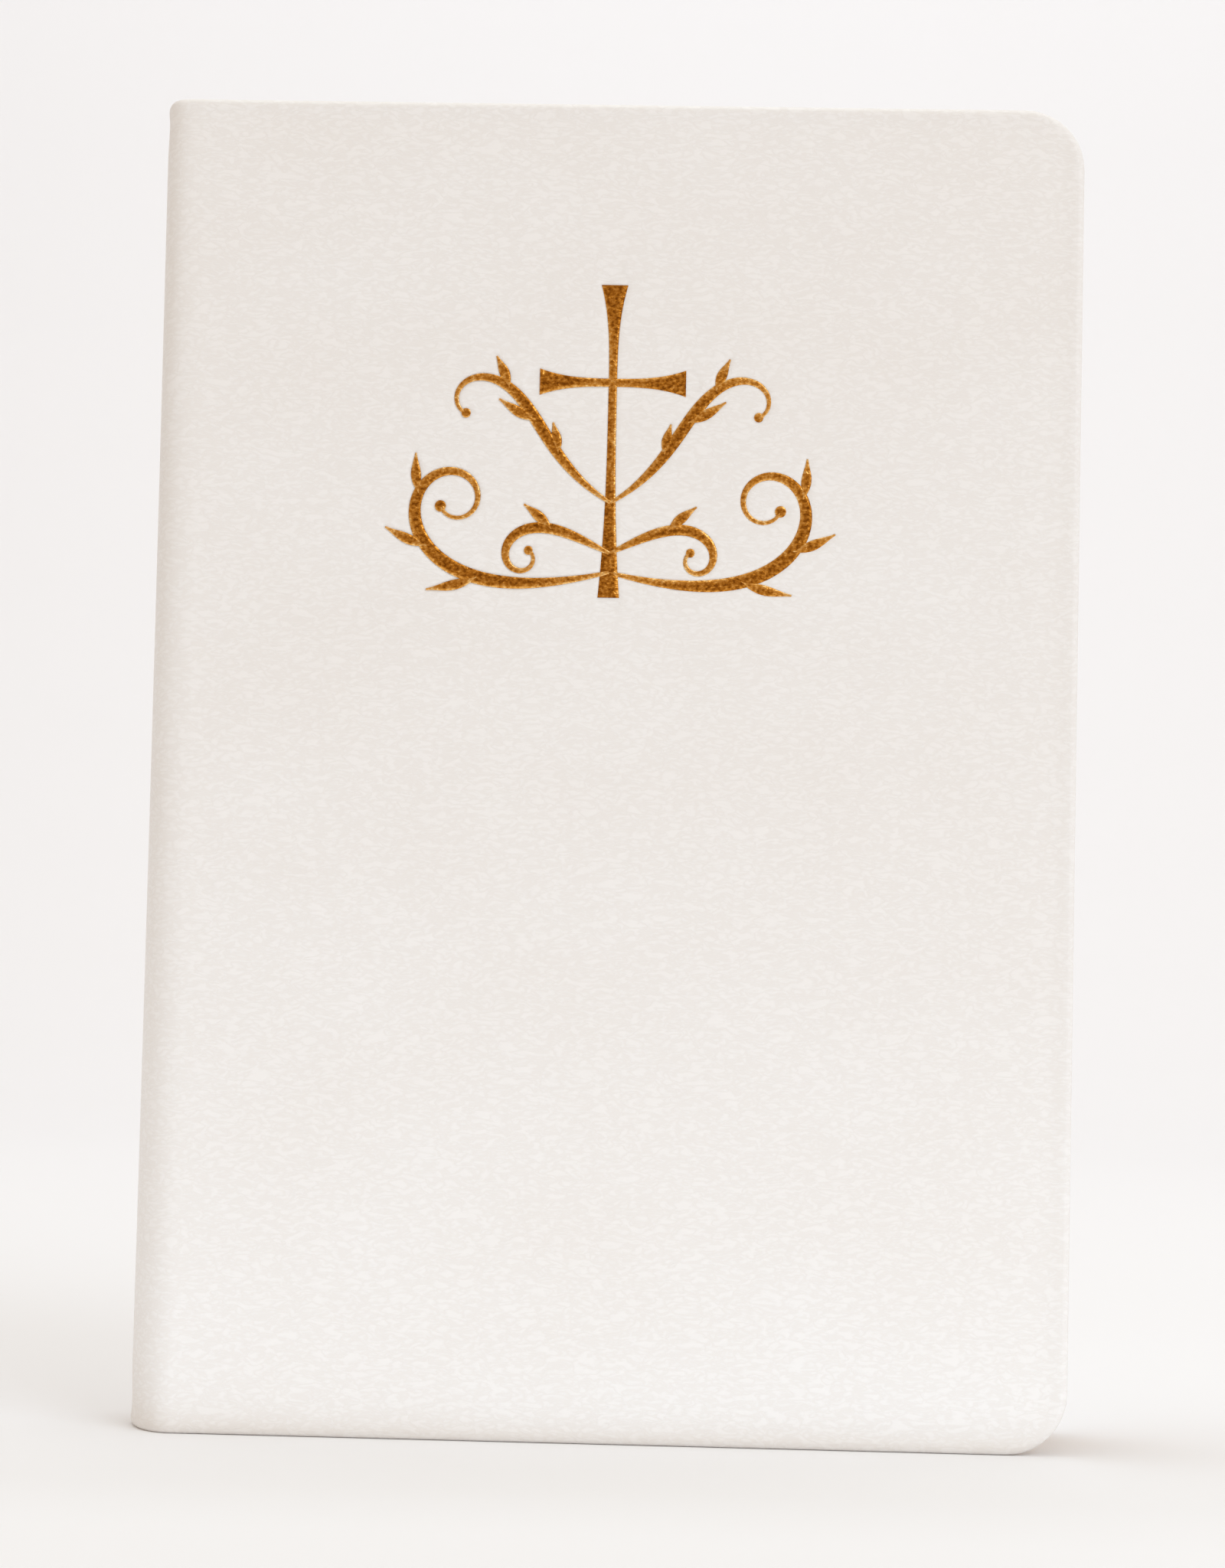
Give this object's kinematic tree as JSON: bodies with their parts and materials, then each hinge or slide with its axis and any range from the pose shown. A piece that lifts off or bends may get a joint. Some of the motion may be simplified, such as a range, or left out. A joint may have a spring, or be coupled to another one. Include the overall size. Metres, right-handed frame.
{
  "type": "bible",
  "caption": "Hand Bible in a limp rounded-spine case with gilt page edges; both covers open and the outer leaves fan out with them.",
  "frame": {"origin": "middle of the closed book's footprint, on the surface it stands on", "axes": "+Z from tail to head, +X from the spine to the fore-edge, +Y from the front cover to the back cover"},
  "size_m": [0.1471, 0.0311, 0.21],
  "materials": {
    "leather": "white imitation leather with a fine pressed grain, satin",
    "card": "grey-brown card, matt",
    "paper": "uncoated white paper, matt",
    "gilt_pages": "thin Bible paper with gilt edges, burnished",
    "mull_cloth": "open-weave starched cotton",
    "silk": "spun thread with a soft sheen",
    "gold_foil": "hot-stamped metallic foil, bright"
  },
  "bodies": {
    "text_block": {"spine_leather": "leather", "spine_inlay": "card", "spine_ornament": "gold_foil", "core_section_1": "gilt_pages", "core_section_2": "gilt_pages", "core_section_3": "gilt_pages", "core_section_4": "gilt_pages", "core_section_5": "gilt_pages", "core_section_6": "gilt_pages", "core_section_7": "gilt_pages", "core_section_8": "gilt_pages", "core_section_9": "gilt_pages", "core_section_10": "gilt_pages", "mull": "mull_cloth", "kraft_lining": "card", "sewing_thread_1": "silk", "sewing_thread_2": "silk", "sewing_thread_3": "silk", "sewing_thread_4": "silk", "sewing_thread_5": "silk", "headband": "silk", "tailband": "silk", "front_endpaper_strip": "paper", "front_section_1_fold": "paper", "front_section_2_fold": "paper", "front_section_3_fold": "paper", "front_section_4_fold": "paper", "back_endpaper_strip": "paper", "back_section_1_fold": "paper", "back_section_2_fold": "paper", "back_section_3_fold": "paper", "back_section_4_fold": "paper"},
    "front_cover": {"front_leather": "leather", "front_board": "card", "front_pastedown": "paper", "cover_ornament": "gold_foil"},
    "front_flyleaf": {"front_flyleaf": "paper"},
    "front_leaves_1": {"front_section_1_leaves": "gilt_pages"},
    "front_leaves_2": {"front_section_2_leaves": "gilt_pages"},
    "front_leaves_3": {"front_section_3_leaves": "gilt_pages"},
    "front_leaves_4": {"front_section_4_leaves": "gilt_pages"},
    "back_cover": {"back_leather": "leather", "back_board": "card", "back_pastedown": "paper"},
    "back_flyleaf": {"back_flyleaf": "paper"},
    "back_leaves_1": {"back_section_1_leaves": "gilt_pages"},
    "back_leaves_2": {"back_section_2_leaves": "gilt_pages"},
    "back_leaves_3": {"back_section_3_leaves": "gilt_pages"},
    "back_leaves_4": {"back_section_4_leaves": "gilt_pages"}
  },
  "joints": [
    {"name": "front_cover_open", "type": "hinge", "parent": "text_block", "child": "front_cover", "pos_m": [-0.06485, -0.0158, 0], "axis": [0, 0, -1], "range_deg": [0, 180]},
    {"name": "front_flyleaf_turn", "type": "hinge", "parent": "text_block", "child": "front_flyleaf", "pos_m": [-0.057, -0.01295, 0], "axis": [0, 0, -1], "range_deg": [0, 141]},
    {"name": "front_leaves_1_turn", "type": "hinge", "parent": "text_block", "child": "front_leaves_1", "pos_m": [-0.057, -0.0127, 0], "axis": [0, 0, -1], "range_deg": [0, 121]},
    {"name": "front_leaves_2_turn", "type": "hinge", "parent": "text_block", "child": "front_leaves_2", "pos_m": [-0.057, -0.01175, 0], "axis": [0, 0, -1], "range_deg": [0, 99]},
    {"name": "front_leaves_3_turn", "type": "hinge", "parent": "text_block", "child": "front_leaves_3", "pos_m": [-0.057, -0.0104, 0], "axis": [0, 0, -1], "range_deg": [0, 76]},
    {"name": "front_leaves_4_turn", "type": "hinge", "parent": "text_block", "child": "front_leaves_4", "pos_m": [-0.057, -0.00875, 0], "axis": [0, 0, -1], "range_deg": [0, 47]},
    {"name": "back_cover_open", "type": "hinge", "parent": "text_block", "child": "back_cover", "pos_m": [-0.06485, 0.0158, 0], "axis": [0, 0, 1], "range_deg": [0, 180]},
    {"name": "back_flyleaf_turn", "type": "hinge", "parent": "text_block", "child": "back_flyleaf", "pos_m": [-0.057, 0.01295, 0], "axis": [0, 0, 1], "range_deg": [0, 141]},
    {"name": "back_leaves_1_turn", "type": "hinge", "parent": "text_block", "child": "back_leaves_1", "pos_m": [-0.057, 0.0127, 0], "axis": [0, 0, 1], "range_deg": [0, 121]},
    {"name": "back_leaves_2_turn", "type": "hinge", "parent": "text_block", "child": "back_leaves_2", "pos_m": [-0.057, 0.01175, 0], "axis": [0, 0, 1], "range_deg": [0, 99]},
    {"name": "back_leaves_3_turn", "type": "hinge", "parent": "text_block", "child": "back_leaves_3", "pos_m": [-0.057, 0.0104, 0], "axis": [0, 0, 1], "range_deg": [0, 76]},
    {"name": "back_leaves_4_turn", "type": "hinge", "parent": "text_block", "child": "back_leaves_4", "pos_m": [-0.057, 0.00875, 0], "axis": [0, 0, 1], "range_deg": [0, 47]}
  ],
  "couplings": [
    {"joint": "front_flyleaf_turn", "follows": "front_cover_open", "ratio": 0.78},
    {"joint": "front_leaves_1_turn", "follows": "front_cover_open", "ratio": 0.67},
    {"joint": "front_leaves_2_turn", "follows": "front_cover_open", "ratio": 0.55},
    {"joint": "front_leaves_3_turn", "follows": "front_cover_open", "ratio": 0.42},
    {"joint": "front_leaves_4_turn", "follows": "front_cover_open", "ratio": 0.26},
    {"joint": "back_flyleaf_turn", "follows": "back_cover_open", "ratio": 0.78},
    {"joint": "back_leaves_1_turn", "follows": "back_cover_open", "ratio": 0.67},
    {"joint": "back_leaves_2_turn", "follows": "back_cover_open", "ratio": 0.55},
    {"joint": "back_leaves_3_turn", "follows": "back_cover_open", "ratio": 0.42},
    {"joint": "back_leaves_4_turn", "follows": "back_cover_open", "ratio": 0.26}
  ]
}
